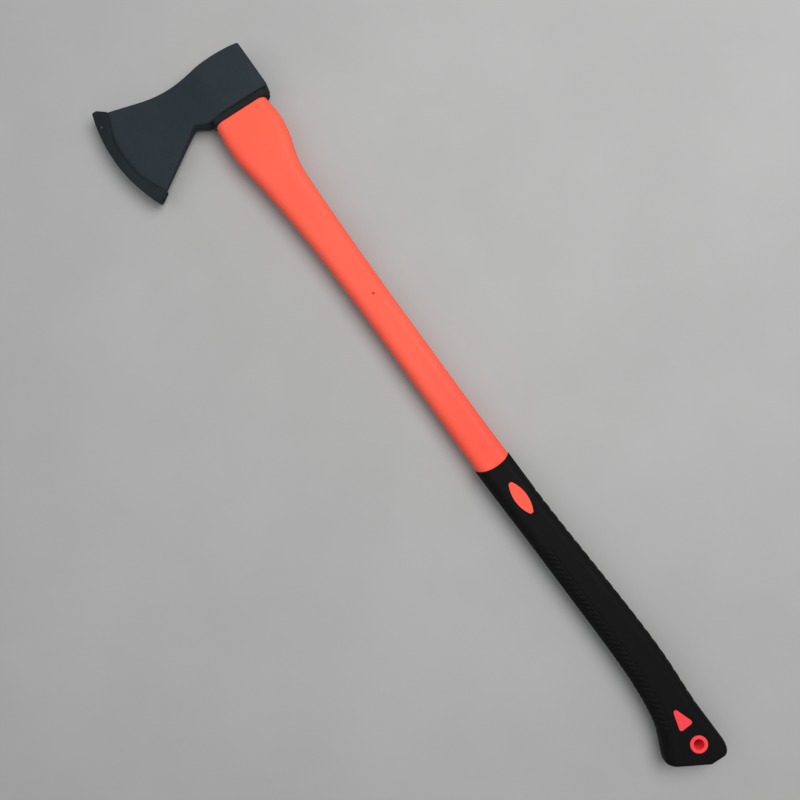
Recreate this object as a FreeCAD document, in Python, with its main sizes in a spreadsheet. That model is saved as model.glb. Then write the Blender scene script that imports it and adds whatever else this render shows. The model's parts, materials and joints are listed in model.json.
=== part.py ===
import FreeCAD, Part
import math
import os
import Sketcher

# A flat fire axe with a moulded handle, lying on its cheek.
# X runs from the butt of the handle to the toe of the head, Y points at the cutting edge,
# Z is up. The whole axe is symmetrical about its mid plane, half its thickness above the
# ground. The origin is on the ground, under the middle of the axe. Millimetres.

AXIS_ORIGIN = -1
START, END, CENTRE = 1, 2, 3
SHEET = "Dimensions"

SIZES = {
    "mid_plane": 16.0,
    # Cuts that go right through the thickness, and right along the axe.
    "through_cut": 60.0, "lengthwise_cut": 1000.0,
    # Forged head, outline in plan.
    "poll_low_x": 373.0, "poll_low_y": -70.9,
    "poll_top_y": -68.4,
    "flare_y": 50.8, "flare_angle": 16.96, "shoulder_angle": 6.59,
    "toe_x": 445.0, "heel_x": 334.6,
    "beard_x": 380.0, "beard_y": 14.1,
    "lug_y": 2.4,
    "crown_radius": 190.0, "flare_radius": 165.0, "edge_radius": 153.2,
    "beard_radius": 6.4, "lug_radius": 12.0, "poll_corner_radius": 2.5,
    "forging_height": 40.0,
    # Forged head, half thickness at places along Y.
    "land_start_y": -56.0, "land_end_y": -26.0, "land_half": 16.0,
    "poll_end_y": -76.0, "poll_round": 61.7,
    "cheek_angle": 13.46, "cheek_round": 63.6,
    "hollow_start_y": 8.0, "hollow_round": 150.0,
    "blade_angle": 2.79, "blade_end_y": 112.0,
    "cheek_cut_half": 24.0,
    # Ground bevel, turned about the centre of the cutting edge.
    "edge_centre_x": 401.4, "edge_centre_y": -53.5,
    "bevel_start": 137.5, "bevel_start_half": 4.6,
    "bevel_end": 155.2, "bevel_end_half": -0.25, "bevel_cut_half": 6.0,
    "head_edge_round": 2.0,
    # Eye of the head, with the resin, the tang and the rod in it.
    "eye_low": -62.0, "eye_high": -10.0, "eye_thick": 22.0, "eye_round": 10.5,
    "tang_low": -60.2, "tang_high": -11.8, "tang_thick": 18.6, "tang_round": 8.8,
    "tang_root_x": 357.4, "tang_end_x": 424.0, "resin_end_x": 422.8,
    "core_end_x": 424.8, "core_end_y": -33.5, "core_length": 798.0,
    "core_low": -10.0, "core_high": 10.0, "core_thick": 13.0, "core_round": 3.0, "core_tilt": 3.02,
    # Rubber collar between the handle's shoulder and the head.
    "collar_low": -68.6, "collar_high": -1.6, "collar_thick": 25.0, "collar_round": 9.0,
    "shoulder_x": 366.7, "collar_edge_round": 2.6,
    # Handle jacket and grip sleeve.
    "shoulder_round": 1.8, "sleeve_end_round": 4.5,
    "gate_x": 137.9, "gate_y": -47.0, "gate_height": 14.0, "gate_radius": 2.0,
    "mouth_radius": 41.0, "mouth_corner_x": -62.6,
    "mouth_high_y": -26.15, "mouth_low_y": -87.85,
    "mouth_jacket_x": -102.6, "mouth_sleeve_x": -32.6,
    "butt_top_x": -415.7, "butt_top_y": -19.55,
    "butt_bend_x": -447.2, "butt_bend_y": -77.5,
    "butt_foot_x": -447.3, "butt_foot_y": -96.0,
    "butt_out_x": -482.6, "butt_out_y": -125.0,
    # Raised panels of the jacket that show through the grip.
    "leaf_x": -116.3, "leaf_y": -60.8, "leaf_tilt": 3.8, "leaf_reach": 16.2,
    "leaf_end_round": 2.8, "leaf_side_round": 38.0, "leaf_height": 29.2,
    "arrow_tip_x": -382.5, "arrow_tip_y": -75.2,
    "arrow_high_x": -398.7, "arrow_high_y": -71.4,
    "arrow_low_x": -397.7, "arrow_low_y": -81.4,
    "arrow_round": 2.5, "arrow_height": 31.4,
    "ring_x": -421.6, "ring_y": -77.5, "ring_radius": 9.0, "ring_height": 32.0,
    "ring_opening_radius": 7.5,
    "hang_hole_radius": 5.5,
    # Push-on edge guard.
    "guard_toe_x": 447.4, "guard_toe_y": 95.04,
    "guard_toe_low_x": 447.4, "guard_toe_low_y": 90.0,
    "guard_cheek_x": 440.4, "guard_cheek_y": 80.8,
    "guard_mid_x": 410.9, "guard_mid_y": 91.8,
    "guard_inner_x": 363.4, "guard_inner_y": 87.0,
    "guard_tail_x": 340.4, "guard_tail_y": 73.3,
    "guard_heel_x": 332.8, "guard_heel_y": 86.05,
    "guard_outer_radius": 155.5, "guard_inner_radius": 125.0, "guard_thick": 12.0,
    "slot_toe_x": 445.3, "slot_toe_y": 93.57,
    "slot_heel_x": 334.3, "slot_heel_y": 84.55,
    "slot_mouth_y": 60.0, "slot_radius": 153.5, "slot_thick": 8.8,
    "guard_corner_round": 2.2, "guard_edge_round": 1.0,
}

# Stations along the handle: x, low y, high y, thickness, corner radius.
JACKET_STATIONS = (
    (366.7, -62.6, -3.6, 26.0, 9.5),
    (358.4, -63.9, -2.8, 27.0, 10.0),
    (346.4, -65.4, -2.2, 28.0, 10.5),
    (322.4, -63.7, -3.7, 28.0, 10.5),
    (297.4, -57.4, -8.2, 27.0, 10.5),
    (272.4, -56.2, -12.2, 26.0, 10.5),
    (237.4, -57.1, -17.0, 25.5, 10.5),
    (205.0, -58.3, -20.6, 25.2, 10.5),
    (174.4, -59.8, -23.3, 25.0, 10.5),
    (137.0, -61.7, -26.3, 25.0, 10.5),
    (97.4, -64.1, -28.8, 25.0, 10.5),
    (50.0, -66.8, -31.5, 25.0, 10.5),
    (2.4, -69.7, -34.2, 25.0, 10.5),
    (-30.0, -71.8, -35.8, 25.2, 10.5),
    (-52.6, -73.4, -36.9, 25.4, 10.5),
    (-97.6, -76.3, -39.3, 25.8, 10.5),
)
SLEEVE_STATIONS = (
    (-52.6, -74.3, -36.0, 27.2, 11.0),
    (-83.6, -76.5, -37.5, 28.4, 11.5),
    (-132.6, -80.1, -41.4, 28.6, 11.5),
    (-206.6, -87.5, -47.1, 28.8, 11.5),
    (-255.6, -92.6, -50.6, 28.8, 11.5),
    (-304.6, -96.9, -53.9, 29.0, 11.5),
    (-342.6, -98.7, -55.0, 29.4, 11.5),
    (-366.6, -98.6, -54.2, 29.9, 11.5),
    (-390.6, -98.9, -51.2, 30.6, 11.5),
    (-402.6, -99.4, -47.9, 30.9, 11.5),
    (-414.6, -100.4, -43.0, 31.2, 11.5),
    (-442.6, -102.6, -31.9, 31.4, 11.5),
    (-464.6, -104.4, -23.0, 31.4, 11.5),
)
# The jacket goes on under the grip sleeve, one wall of the sleeve inside its outside.
UNDER_GRIP_STATIONS = (
    (-52.6, -72.1, -38.2, 22.8, 9.5),
    (-132.6, -77.9, -43.6, 24.2, 9.5),
    (-206.6, -85.3, -49.3, 24.4, 9.5),
    (-304.6, -94.7, -56.1, 24.6, 9.5),
    (-342.6, -96.4, -57.2, 25.0, 9.5),
    (-366.6, -96.2, -56.4, 25.5, 9.5),
    (-390.6, -96.5, -53.4, 26.2, 9.5),
    (-414.6, -97.6, -49.6, 26.8, 9.5),
    (-433.6, -97.8, -62.0, 27.0, 9.5),
)
STATION_SIZES = ("x", "low", "high", "thick", "round")
# A point this near to a line or a plane is on it.
ON_IT = 0.02
# An edge is near a place within this distance, and is looked at in this many points.
NEAR_IT = 0.5
POINTS_ON_EDGE = 9


def station_cells(name, stations):
    """The sheet's cells for one row of stations, such as jacket_thick_3."""
    cells = {}
    for number, station in enumerate(stations):
        for size, value in zip(STATION_SIZES, station):
            cells[f"{name}_{size}_{number}"] = value
    return cells


def tangent_points(before, corner, after, radius):
    """Where an arc that rounds a corner meets the two lines of that corner."""
    first = math.atan2(before[1] - corner[1], before[0] - corner[0])
    last = math.atan2(after[1] - corner[1], after[0] - corner[0])
    reach = radius / abs(math.tan((last - first) / 2))
    return [(corner[0] + reach * math.cos(angle), corner[1] + reach * math.sin(angle))
            for angle in (first, last)]


def on_arc(radius, centre_x, centre_y, x):
    """The y of the upper point of a circle at x."""
    return centre_y + math.sqrt(radius ** 2 - (x - centre_x) ** 2)


def head_outline_cells(given):
    """Corners of the head's outline that follow from tangent arcs and the edge's circle."""
    flare, shoulder = math.radians(given["flare_angle"]), math.radians(given["shoulder_angle"])
    edge = (given["edge_radius"], given["edge_centre_x"], given["edge_centre_y"])
    toe_y, heel_y = on_arc(*edge, given["toe_x"]), on_arc(*edge, given["heel_x"])
    flare_x = given["toe_x"] - (toe_y - given["flare_y"]) * math.tan(flare)
    waist_y = given["flare_y"] - given["flare_radius"] * (math.sin(flare) + math.sin(shoulder))
    waist_x = flare_x - given["flare_radius"] * (math.cos(shoulder) - math.cos(flare))
    crown_centre_x = waist_x - given["crown_radius"] * math.cos(shoulder)
    crown_centre_y = waist_y - given["crown_radius"] * math.sin(shoulder)
    poll_reach = math.sqrt(given["crown_radius"] ** 2 - (given["poll_top_y"] - crown_centre_y) ** 2)
    beard, lug = (given["beard_x"], given["beard_y"]), (given["poll_low_x"], given["lug_y"])
    beard_top, beard_low = tangent_points((given["heel_x"], heel_y), beard, lug, given["beard_radius"])
    lug_top, lug_low = tangent_points(beard, lug, (lug[0], given["poll_low_y"]), given["lug_radius"])
    cells = {"poll_top_x": crown_centre_x + poll_reach, "toe_y": toe_y, "heel_y": heel_y,
             "waist_x": waist_x, "waist_y": waist_y, "flare_x": flare_x}
    for name, point in (("beard_top", beard_top), ("beard_low", beard_low),
                        ("lug_top", lug_top), ("lug_low", lug_low)):
        cells[f"{name}_x"], cells[f"{name}_y"] = point
    return cells


def cheek_cells(given):
    """Half thicknesses of the head that follow from tangent arcs and lines."""
    cheek, blade = math.radians(given["cheek_angle"]), math.radians(given["blade_angle"])
    poll_run = given["land_start_y"] - given["poll_end_y"]
    poll_drop = given["poll_round"] - math.sqrt(given["poll_round"] ** 2 - poll_run ** 2)
    cheek_y = given["land_end_y"] + given["cheek_round"] * math.sin(cheek)
    cheek_half = given["land_half"] - given["cheek_round"] * (1 - math.cos(cheek))
    hollow_half = cheek_half - (given["hollow_start_y"] - cheek_y) * math.tan(cheek)
    end_y = given["hollow_start_y"] + given["hollow_round"] * (math.sin(cheek) - math.sin(blade))
    end_half = hollow_half - given["hollow_round"] * (math.cos(blade) - math.cos(cheek))
    blade_half = end_half - (given["blade_end_y"] - end_y) * math.tan(blade)
    return {"poll_end_half": given["land_half"] - poll_drop, "cheek_y": cheek_y,
            "cheek_half": cheek_half, "hollow_start_half": hollow_half,
            "hollow_end_y": end_y, "hollow_end_half": end_half, "blade_end_half": blade_half}


SIZES.update(head_outline_cells(SIZES))
SIZES.update(cheek_cells(SIZES))
SIZES.update(station_cells("jacket", JACKET_STATIONS))
SIZES.update(station_cells("sleeve", SLEEVE_STATIONS))
SIZES.update(station_cells("under", UNDER_GRIP_STATIONS))


def make_sheet(doc):
    """The spreadsheet of driving dimensions, one named cell for each size."""
    sheet = doc.addObject("Spreadsheet::Sheet", SHEET)
    for row, (alias, value) in enumerate(SIZES.items(), start=1):
        sheet.set(f"A{row}", alias)
        sheet.set(f"B{row}", str(value))
        sheet.setAlias(f"B{row}", alias)
    doc.recompute()


def cell(alias):
    """An expression that reads one cell of the sheet."""
    return f"{SHEET}.{alias}"


def new_body(doc, label):
    """A body whose own origin is on the axe's mid plane."""
    body = doc.addObject("PartDesign::Body", label)
    body.Label = label
    body.setExpression("Placement.Base.z", cell("mid_plane"))
    return body


def origin_plane(body, role):
    return next(item for item in body.Origin.OriginFeatures if item.Role == role)


def new_sketch(body, name, role="XY_Plane", **offsets):
    """A sketch on one of its body's own planes, moved by the cells named for each axis."""
    sketch = body.newObject("Sketcher::SketchObject", name)
    sketch.AttachmentSupport = [(origin_plane(body, role), "")]
    sketch.MapMode = "FlatFace"
    for axis, alias in offsets.items():
        path = "Rotation.Angle" if axis == "turn" else f"Base.{axis}"
        sketch.setExpression(f"AttachmentOffset.{path}", cell(alias))
    return sketch


def bind(sketch, kind, *target, expression, value):
    """Adds a dimensional constraint and ties it to the sheet."""
    index = sketch.addConstraint(Sketcher.Constraint(kind, *target, value))
    sketch.setExpression(f"Constraints[{index}]", expression)


def line(start, end):
    return Part.LineSegment(FreeCAD.Vector(*start, 0), FreeCAD.Vector(*end, 0))


def arc_about(centre, radius, first, last):
    """An anticlockwise arc; angles in degrees."""
    circle = Part.Circle(FreeCAD.Vector(*centre, 0), FreeCAD.Vector(0, 0, 1), radius)
    return Part.ArcOfCircle(circle, math.radians(first), math.radians(last))


def arc_between(start, end, radius, side):
    """The shorter arc between two points, with its centre on the left (1) or right (-1)."""
    run_x, run_y = end[0] - start[0], end[1] - start[1]
    chord = math.hypot(run_x, run_y)
    reach = math.sqrt(radius ** 2 - (chord / 2) ** 2)
    centre = ((start[0] + end[0]) / 2 - side * run_y / chord * reach,
              (start[1] + end[1]) / 2 + side * run_x / chord * reach)
    first, last = start, end
    if side < 0:
        first, last = end, start
    angles = [math.degrees(math.atan2(p[1] - centre[1], p[0] - centre[0])) for p in (first, last)]
    if angles[1] < angles[0]:
        angles[1] += 360
    return arc_about(centre, radius, *angles)


def pinned_outline(sketch, corners, flip=""):
    """A closed outline through named corners.

    Each corner is (x alias, y alias) and may go on with the alias of the radius of the arc
    that leaves it and the side its centre is on. flip is "-" for the mirror image below.
    """
    sign = -1 if flip else 1
    points = [(SIZES[corner[0]], sign * SIZES[corner[1]]) for corner in corners]
    ends = []
    for number, corner in enumerate(corners):
        start, end = points[number], points[(number + 1) % len(points)]
        if len(corner) == 2:
            index = sketch.addGeometry(line(start, end))
            ends.append((index, START, END))
            continue
        side = sign * corner[3]
        index = sketch.addGeometry(arc_between(start, end, SIZES[corner[2]], side))
        bind(sketch, "Radius", index, expression=cell(corner[2]), value=SIZES[corner[2]])
        ends.append((index, START, END) if side > 0 else (index, END, START))
    for number, corner in enumerate(corners):
        index, first, last = ends[number]
        following = ends[(number + 1) % len(ends)]
        sketch.addConstraint(Sketcher.Constraint("Coincident", index, last, following[0], following[1]))
        point = points[number]
        for kind, alias, mark, value in (("DistanceX", corner[0], "", point[0]),
                                         ("DistanceY", corner[1], flip, point[1])):
            bind(sketch, kind, AXIS_ORIGIN, START, index, first,
                 expression=mark + cell(alias), value=value)


def tangent_loop(sketch, pieces):
    """Adds pieces that follow one another, each tangent to the next, and returns their numbers."""
    numbers = [sketch.addGeometry(piece) for piece in pieces]
    for number, following in zip(numbers, numbers[1:] + numbers[:1]):
        sketch.addConstraint(Sketcher.Constraint("Tangent", number, END, following, START))
    return numbers


def rounded_rectangle(sketch, low, high, thick, corner):
    """A rounded rectangle from low to high, centred on the mid plane."""
    left, right, top = SIZES[low], SIZES[high], SIZES[thick] / 2
    radius = SIZES[corner]
    inner_left, inner_right, inner_top = left + radius, right - radius, top - radius
    numbers = tangent_loop(sketch, (
        line((inner_left, -top), (inner_right, -top)),
        arc_about((inner_right, -inner_top), radius, -90, 0),
        line((right, -inner_top), (right, inner_top)),
        arc_about((inner_right, inner_top), radius, 0, 90),
        line((inner_right, top), (inner_left, top)),
        arc_about((inner_left, inner_top), radius, 90, 180),
        line((left, inner_top), (left, -inner_top)),
        arc_about((inner_left, -inner_top), radius, 180, 270),
    ))
    for number in (numbers[0], numbers[4]):
        sketch.addConstraint(Sketcher.Constraint("Horizontal", number))
    for number in (numbers[2], numbers[6]):
        sketch.addConstraint(Sketcher.Constraint("Vertical", number))
    for number in numbers[1::2]:
        bind(sketch, "Radius", number, expression=cell(corner), value=radius)
    for kind, number, expression, value in (
            ("DistanceY", numbers[0], f"-{cell(thick)} / 2", -top),
            ("DistanceX", numbers[2], cell(high), right),
            ("DistanceY", numbers[4], f"{cell(thick)} / 2", top),
            ("DistanceX", numbers[6], cell(low), left)):
        bind(sketch, kind, AXIS_ORIGIN, START, number, START, expression=expression, value=value)


def extrude(body, kind, sketch, length, symmetric=True):
    """A Pad or Pocket of a sketch, by a length given as an expression."""
    feature = body.newObject(f"PartDesign::{kind}", f"{sketch.Name}_{kind}")
    feature.Profile = sketch
    feature.setExpression("Length", length)
    if symmetric:
        feature.SideType = "Symmetric"
    body.Document.recompute()
    return feature


def loft_stations(body, name, count):
    """A smooth loft through the numbered stations of one row."""
    sections = []
    for number in range(count):
        sketch = new_sketch(body, f"{name}_section_{number}", "YZ_Plane", z=f"{name}_x_{number}")
        rounded_rectangle(sketch, *[f"{name}_{size}_{number}" for size in STATION_SIZES[1:]])
        sections.append(sketch)
    loft = body.newObject("PartDesign::AdditiveLoft", f"{name}_loft")
    loft.Profile = sections[0]
    loft.Sections = sections[1:]
    body.Document.recompute()


def fillet(body, name, radius, chosen):
    """Rounds the edges of the body's tip that the test picks."""
    tip = body.Tip
    edges = [f"Edge{number}" for number, edge in enumerate(tip.Shape.Edges, start=1) if chosen(edge)]
    rounding = body.newObject("PartDesign::Fillet", name)
    rounding.Base = (tip, edges)
    rounding.setExpression("Radius", cell(radius))
    body.Document.recompute()


def all_points(edge, test):
    """True if the test holds at the ends and along the edge."""
    return all(test(point) for point in edge.discretize(POINTS_ON_EDGE))


HEAD_OUTLINE = (
    ("poll_low_x", "poll_low_y"),
    ("poll_top_x", "poll_top_y", "crown_radius", 1),
    ("waist_x", "waist_y", "flare_radius", -1),
    ("flare_x", "flare_y"),
    ("toe_x", "toe_y", "edge_radius", 1),
    ("heel_x", "heel_y"),
    ("beard_top_x", "beard_top_y", "beard_radius", -1),
    ("beard_low_x", "beard_low_y"),
    ("lug_top_x", "lug_top_y", "lug_radius", 1),
    ("lug_low_x", "lug_low_y"),
)
CHEEK_PROFILE = (
    ("poll_end_y", "poll_end_half", "poll_round", -1),
    ("land_start_y", "land_half"),
    ("land_end_y", "land_half", "cheek_round", -1),
    ("cheek_y", "cheek_half"),
    ("hollow_start_y", "hollow_start_half", "hollow_round", 1),
    ("hollow_end_y", "hollow_end_half"),
    ("blade_end_y", "blade_end_half"),
    ("blade_end_y", "cheek_cut_half"),
    ("poll_end_y", "cheek_cut_half"),
)
BEVEL_PROFILE = (
    ("bevel_start", "bevel_start_half"),
    ("bevel_end", "bevel_end_half"),
    ("bevel_end", "bevel_cut_half"),
    ("bevel_start", "bevel_cut_half"),
)


def is_head_edge(edge):
    """Edges between the cheeks and the sides of the head, up to the ground bevel."""
    centre = (SIZES["edge_centre_x"], SIZES["edge_centre_y"])
    bevel_margin, least_half = 6.0, 2.0
    least_run, least_rise, upright_width = 10.0, 4.0, 1.0

    def reach(point):
        return math.hypot(point.x - centre[0], point.y - centre[1])

    first, last = edge.Vertexes[0].Point, edge.Vertexes[-1].Point
    across_cheek = abs(first.y - last.y) < ON_IT and abs(first.x - last.x) > least_run
    upright = edge.BoundBox.ZLength > least_rise and edge.BoundBox.YLength < upright_width
    bevel_line = all_points(edge, lambda p: reach(p) > SIZES["bevel_start"] - NEAR_IT)
    if across_cheek or upright or bevel_line:
        return False
    return all_points(edge, lambda p: abs(p.z) > least_half
                      and reach(p) < SIZES["bevel_start"] + bevel_margin)


def make_head(doc):
    """Forged head: outline in plan, hollow-forged cheeks, ground bevel and the eye."""
    body = new_body(doc, "axe_head")
    outline = new_sketch(body, "head_outline")
    pinned_outline(outline, HEAD_OUTLINE)
    extrude(body, "Pad", outline, cell("forging_height"))
    for name, flip in (("upper_cheek", ""), ("lower_cheek", "-")):
        cheek = new_sketch(body, name, "YZ_Plane")
        pinned_outline(cheek, CHEEK_PROFILE, flip)
        extrude(body, "Pocket", cheek, cell("lengthwise_cut"))
    for name, flip in (("upper_bevel", ""), ("lower_bevel", "-")):
        bevel = new_sketch(body, name, "YZ_Plane", x="edge_centre_y", z="edge_centre_x")
        pinned_outline(bevel, BEVEL_PROFILE, flip)
        groove = body.newObject("PartDesign::Groove", f"{name}_groove")
        groove.Profile = bevel
        groove.ReferenceAxis = (bevel, ["V_Axis"])
        doc.recompute()
    least_corner_height = 20.0
    fillet(body, "poll_corners", "poll_corner_radius",
           lambda edge: all_points(edge, lambda p: p.y < SIZES["poll_top_y"] + NEAR_IT)
           and edge.BoundBox.ZLength > least_corner_height)
    fillet(body, "cheek_edges", "head_edge_round", is_head_edge)
    eye = new_sketch(body, "eye", "YZ_Plane")
    rounded_rectangle(eye, "eye_low", "eye_high", "eye_thick", "eye_round")
    extrude(body, "Pocket", eye, cell("lengthwise_cut"))
    return body


def make_core(doc):
    """Straight glass-fibre rod from the top of the eye to the butt's arrow panel."""
    body = new_body(doc, "fibreglass_core")
    body.setExpression("Placement.Base.x", cell("core_end_x"))
    body.setExpression("Placement.Base.y", cell("core_end_y"))
    body.setExpression("Placement.Rotation.Angle", cell("core_tilt"))
    section = new_sketch(body, "core_section", "YZ_Plane")
    rounded_rectangle(section, "core_low", "core_high", "core_thick", "core_round")
    pad = extrude(body, "Pad", section, cell("core_length"), symmetric=False)
    pad.Reversed = True
    return body


def make_ring_along_x(doc, label, outer, inner, from_x, to_x):
    """A body between two rounded rectangles, from one place along X to another."""
    body = new_body(doc, label)
    for kind, section in (("Pad", outer), ("Pocket", inner)):
        sketch = new_sketch(body, f"{label}_{section}", "YZ_Plane", z=from_x)
        sizes = [f"{section}_{size}" for size in STATION_SIZES[1:]]
        rounded_rectangle(sketch, *sizes)
        feature = extrude(body, kind, sketch, f"{cell(to_x)} - {cell(from_x)}", symmetric=False)
        feature.Reversed = kind == "Pocket"
    doc.recompute()
    return body


def edge_outside(edge, section):
    """True if the edge runs outside a rounded rectangle's width and thickness."""
    clearly = 0.1
    box = edge.BoundBox
    middle_y, middle_z = box.Center.y, box.Center.z
    return (middle_y < SIZES[f"{section}_low"] - clearly
            or middle_y > SIZES[f"{section}_high"] + clearly
            or abs(middle_z) > SIZES[f"{section}_thick"] / 2 + clearly)


def make_collar(doc):
    """Rubber collar between the shoulder of the handle and the underside of the head."""
    body = make_ring_along_x(doc, "shock_collar", "collar", "tang", "shoulder_x", "poll_low_x")
    fillet(body, "collar_edge", "collar_edge_round",
           lambda edge: all_points(edge, lambda p: abs(p.x - SIZES["shoulder_x"]) < ON_IT)
           and edge_outside(edge, "tang"))
    return body


def make_mouth_cut(body, name, far_x):
    """Cuts the body off along the curved seam between the jacket and the grip."""
    sketch = new_sketch(body, name)
    pinned_outline(sketch, (
        ("mouth_corner_x", "mouth_high_y", "mouth_radius", 1),
        ("mouth_corner_x", "mouth_low_y"),
        (far_x, "mouth_low_y"),
        (far_x, "mouth_high_y"),
    ))
    extrude(body, "Pocket", sketch, cell("through_cut"))


def add_leaf(body):
    """Leaf-shaped panel: two long arcs and two small end arcs."""
    sketch = new_sketch(body, "leaf", x="leaf_x", y="leaf_y", turn="leaf_tilt")
    reach, end, side = (SIZES[f"leaf_{size}"] for size in ("reach", "end_round", "side_round"))
    drop = math.sqrt((side - end) ** 2 - reach ** 2)
    half = math.degrees(math.atan2(reach, drop))
    numbers = tangent_loop(sketch, (
        arc_about((0, -drop), side, 90 - half, 90 + half),
        arc_about((-reach, 0), end, 90 + half, 270 - half),
        arc_about((0, drop), side, 270 - half, 270 + half),
        arc_about((reach, 0), end, 270 + half, 450 - half),
    ))
    for number, alias in zip(numbers, ("leaf_side_round", "leaf_end_round") * 2):
        bind(sketch, "Radius", number, expression=cell(alias), value=SIZES[alias])
    for number, mark, value in ((numbers[1], "-", -reach), (numbers[3], "", reach)):
        bind(sketch, "DistanceX", AXIS_ORIGIN, START, number, CENTRE,
             expression=mark + cell("leaf_reach"), value=value)
        bind(sketch, "DistanceY", AXIS_ORIGIN, START, number, CENTRE, expression="0", value=0)
    extrude(body, "Pad", sketch, cell("leaf_height"))


def add_arrow(body):
    """Three-cornered panel with round corners, pointing at the head."""
    sketch = new_sketch(body, "arrow")
    radius = SIZES["arrow_round"]
    names = ("tip", "high", "low")
    centres = [(SIZES[f"arrow_{name}_x"], SIZES[f"arrow_{name}_y"]) for name in names]
    headings = []
    for number, centre in enumerate(centres):
        following = centres[(number + 1) % 3]
        headings.append(math.degrees(math.atan2(following[1] - centre[1], following[0] - centre[0])))
    pieces = []
    for number, centre in enumerate(centres):
        first, last = headings[number - 1] - 90, headings[number] - 90
        if last < first:
            last += 360
        following = centres[(number + 1) % 3]
        shift = (radius * math.cos(math.radians(last)), radius * math.sin(math.radians(last)))
        pieces.append(arc_about(centre, radius, first, last))
        pieces.append(line((centre[0] + shift[0], centre[1] + shift[1]),
                           (following[0] + shift[0], following[1] + shift[1])))
    numbers = tangent_loop(sketch, pieces)
    for name, number, centre in zip(names, numbers[::2], centres):
        bind(sketch, "Radius", number, expression=cell("arrow_round"), value=radius)
        for kind, axis, value in (("DistanceX", "x", centre[0]), ("DistanceY", "y", centre[1])):
            bind(sketch, kind, AXIS_ORIGIN, START, number, CENTRE,
                 expression=cell(f"arrow_{name}_{axis}"), value=value)
    extrude(body, "Pad", sketch, cell("arrow_height"))


def circle_feature(body, kind, name, radius, length):
    """A round boss or hole at the hanging ring."""
    sketch = new_sketch(body, name, x="ring_x", y="ring_y")
    circle = Part.Circle(FreeCAD.Vector(0, 0, 0), FreeCAD.Vector(0, 0, 1), SIZES[radius])
    index = sketch.addGeometry(circle)
    sketch.addConstraint(Sketcher.Constraint("Coincident", index, CENTRE, AXIS_ORIGIN, START))
    bind(sketch, "Radius", index, expression=cell(radius), value=SIZES[radius])
    extrude(body, kind, sketch, cell(length))


def add_gate_dimple(body):
    """Shallow dimple on the upper face, where the plastic was injected."""
    dimple = body.newObject("PartDesign::SubtractiveSphere", "gate_dimple")
    dimple.AttachmentSupport = [(origin_plane(body, "XY_Plane"), "")]
    dimple.MapMode = "FlatFace"
    for axis, alias in (("x", "gate_x"), ("y", "gate_y"), ("z", "gate_height")):
        dimple.setExpression(f"AttachmentOffset.Base.{axis}", cell(alias))
    dimple.setExpression("Radius", cell("gate_radius"))
    body.Document.recompute()


def make_jacket_blank(doc):
    """Moulded jacket before the rod's bore: haft, tang, part under the grip, raised panels."""
    body = new_body(doc, "jacket_blank")
    loft_stations(body, "jacket", len(JACKET_STATIONS))
    fillet(body, "shoulder_edge", "shoulder_round",
           lambda edge: all_points(edge, lambda p: abs(p.x - SIZES["shoulder_x"]) < ON_IT))
    make_mouth_cut(body, "jacket_mouth", "mouth_jacket_x")
    loft_stations(body, "under", len(UNDER_GRIP_STATIONS))
    tang = new_sketch(body, "tang", "YZ_Plane", z="tang_root_x")
    rounded_rectangle(tang, "tang_low", "tang_high", "tang_thick", "tang_round")
    extrude(body, "Pad", tang, f"{cell('tang_end_x')} - {cell('tang_root_x')}", symmetric=False)
    add_leaf(body)
    add_arrow(body)
    add_gate_dimple(body)
    circle_feature(body, "Pad", "ring", "ring_radius", "ring_height")
    circle_feature(body, "Pocket", "hang_hole", "hang_hole_radius", "through_cut")
    return body


def make_sleeve_blank(doc):
    """Soft grip before the jacket is taken out of it, with its slanted butt."""
    body = new_body(doc, "sleeve_blank")
    loft_stations(body, "sleeve", len(SLEEVE_STATIONS))
    butt = new_sketch(body, "butt_outline")
    pinned_outline(butt, (
        ("butt_top_x", "butt_top_y"),
        ("butt_bend_x", "butt_bend_y"),
        ("butt_foot_x", "butt_foot_y"),
        ("butt_foot_x", "butt_out_y"),
        ("butt_out_x", "butt_out_y"),
        ("butt_out_x", "butt_top_y"),
    ))
    extrude(body, "Pocket", butt, cell("through_cut"))
    fillet(body, "butt_edges", "sleeve_end_round", is_butt_edge)
    make_mouth_cut(body, "sleeve_mouth", "mouth_sleeve_x")
    circle_feature(body, "Pocket", "ring_opening", "ring_opening_radius", "through_cut")
    return body


def is_butt_edge(edge):
    """Edges round the slanted end of the butt."""
    run_x = SIZES["butt_bend_x"] - SIZES["butt_top_x"]
    run_y = SIZES["butt_bend_y"] - SIZES["butt_top_y"]

    def on_slant(point):
        aside = (point.x - SIZES["butt_top_x"]) * run_y - (point.y - SIZES["butt_top_y"]) * run_x
        return abs(aside) / math.hypot(run_x, run_y) < ON_IT

    def on_end(point):
        run = (point.y - SIZES["butt_bend_y"]) / (SIZES["butt_foot_y"] - SIZES["butt_bend_y"])
        place = SIZES["butt_bend_x"] + min(run, 1) * (SIZES["butt_foot_x"] - SIZES["butt_bend_x"])
        return abs(point.x - place) < ON_IT
    return all_points(edge, on_slant) or all_points(edge, on_end)


def cut_from(doc, label, base, tool):
    """A sub-part made by taking one body out of another."""
    result = doc.addObject("Part::Cut", label)
    result.Label = label
    result.Base, result.Tool = base, tool
    doc.recompute()
    return result


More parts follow.
